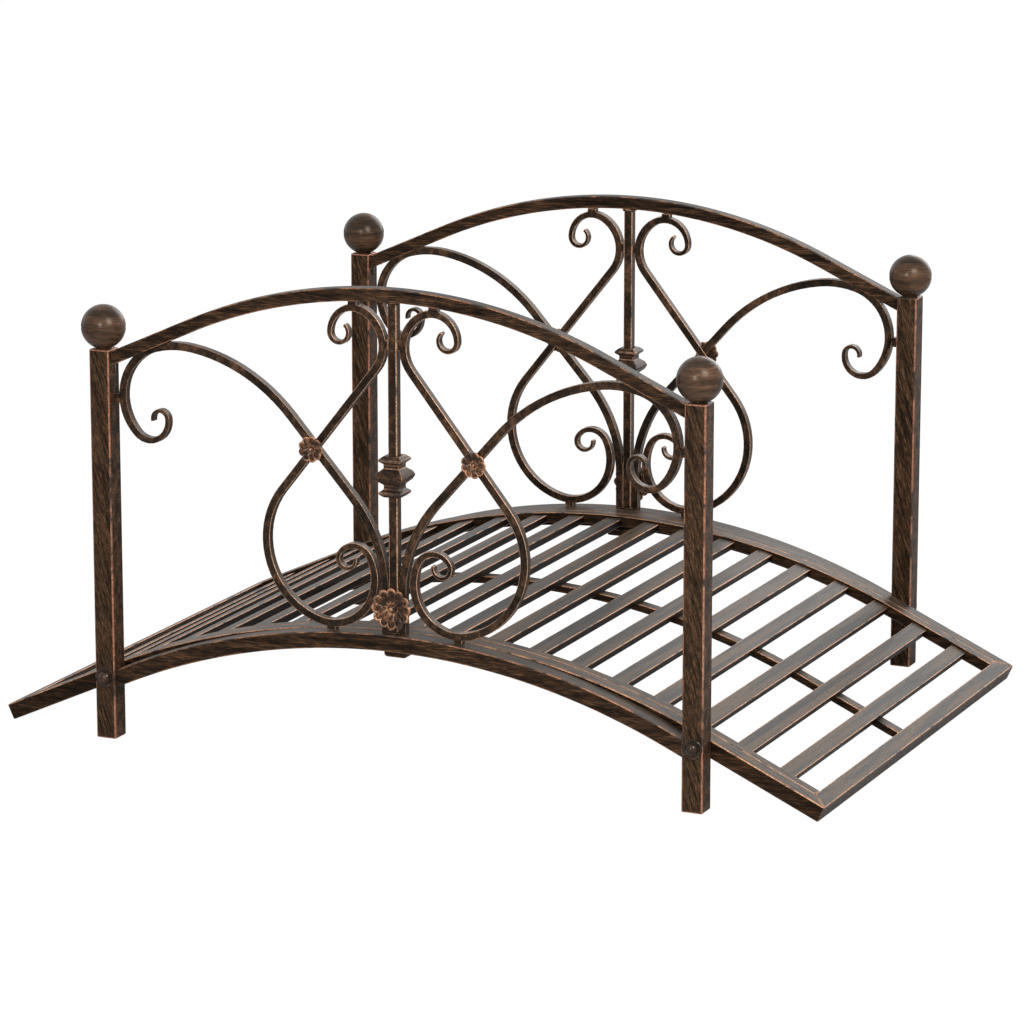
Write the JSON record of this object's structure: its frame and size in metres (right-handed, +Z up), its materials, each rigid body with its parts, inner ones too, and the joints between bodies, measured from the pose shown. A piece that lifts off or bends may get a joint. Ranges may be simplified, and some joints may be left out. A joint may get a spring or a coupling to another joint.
{
  "type": "garden bridge",
  "caption": "Small arched garden footbridge in bronze-painted steel: slatted deck between two scrollwork side panels on square corner posts with ball finials.",
  "frame": {"origin": "on the floor, midway between the four corner posts", "axes": "+Z up, +X along the bridge in the walking direction, -Y towards the front side panel"},
  "size_m": [1.0156, 0.723, 0.5516],
  "materials": {
    "post_bronze": "antique bronze, rubbed copper highlights, satin",
    "ball_bronze": "antique bronze, rubbed copper highlights, satin",
    "scroll_bronze": "antique bronze, rubbed copper highlights, satin",
    "rosette_copper": "antique bronze, rubbed copper highlights, satin",
    "rail_bronze": "antique bronze, rubbed copper highlights, satin",
    "collar_bronze": "antique bronze, rubbed copper highlights, satin",
    "deck_bronze": "antique bronze, rubbed copper highlights, satin",
    "slat_bronze": "antique bronze, rubbed copper highlights, satin",
    "bolt_black": "gloss"
  },
  "bodies": {
    "root": {"front_left_post": "post_bronze", "front_left_finial": "ball_bronze", "front_left_outer_scroll": "scroll_bronze", "front_left_heart_scroll": "scroll_bronze", "front_left_rosette": "rosette_copper", "front_right_post": "post_bronze", "front_right_finial": "ball_bronze", "front_right_outer_scroll": "scroll_bronze", "front_right_heart_scroll": "scroll_bronze", "front_right_rosette": "rosette_copper", "front_top_rail": "rail_bronze", "front_bottom_rail": "rail_bronze", "front_baluster": "scroll_bronze", "front_collar": "collar_bronze", "front_foot_rosette": "rosette_copper", "front_deck_side_rail": "deck_bronze", "front_deck_ledger": "deck_bronze", "front_mid_clip": "rail_bronze", "back_left_post": "post_bronze", "back_left_finial": "ball_bronze", "back_left_outer_scroll": "scroll_bronze", "back_left_heart_scroll": "scroll_bronze", "back_left_rosette": "rosette_copper", "back_right_post": "post_bronze", "back_right_finial": "ball_bronze", "back_right_outer_scroll": "scroll_bronze", "back_right_heart_scroll": "scroll_bronze", "back_right_rosette": "rosette_copper", "back_top_rail": "rail_bronze", "back_bottom_rail": "rail_bronze", "back_baluster": "scroll_bronze", "back_collar": "collar_bronze", "back_foot_rosette": "rosette_copper", "back_deck_side_rail": "deck_bronze", "back_deck_ledger": "deck_bronze", "back_mid_clip": "rail_bronze", "left_deck_end_rail": "deck_bronze", "right_deck_end_rail": "deck_bronze", "slat_1": "slat_bronze", "slat_2": "slat_bronze", "slat_3": "slat_bronze", "slat_4": "slat_bronze", "slat_5": "slat_bronze", "slat_6": "slat_bronze", "slat_7": "slat_bronze", "slat_8": "slat_bronze", "slat_9": "slat_bronze", "slat_10": "slat_bronze", "slat_11": "slat_bronze", "slat_12": "slat_bronze", "slat_13": "slat_bronze", "slat_14": "slat_bronze", "slat_15": "slat_bronze", "slat_16": "slat_bronze", "slat_17": "slat_bronze", "slat_18": "slat_bronze", "slat_19": "slat_bronze", "centre_bar": "deck_bronze", "bolts": "bolt_black"}
  },
  "joints": []
}
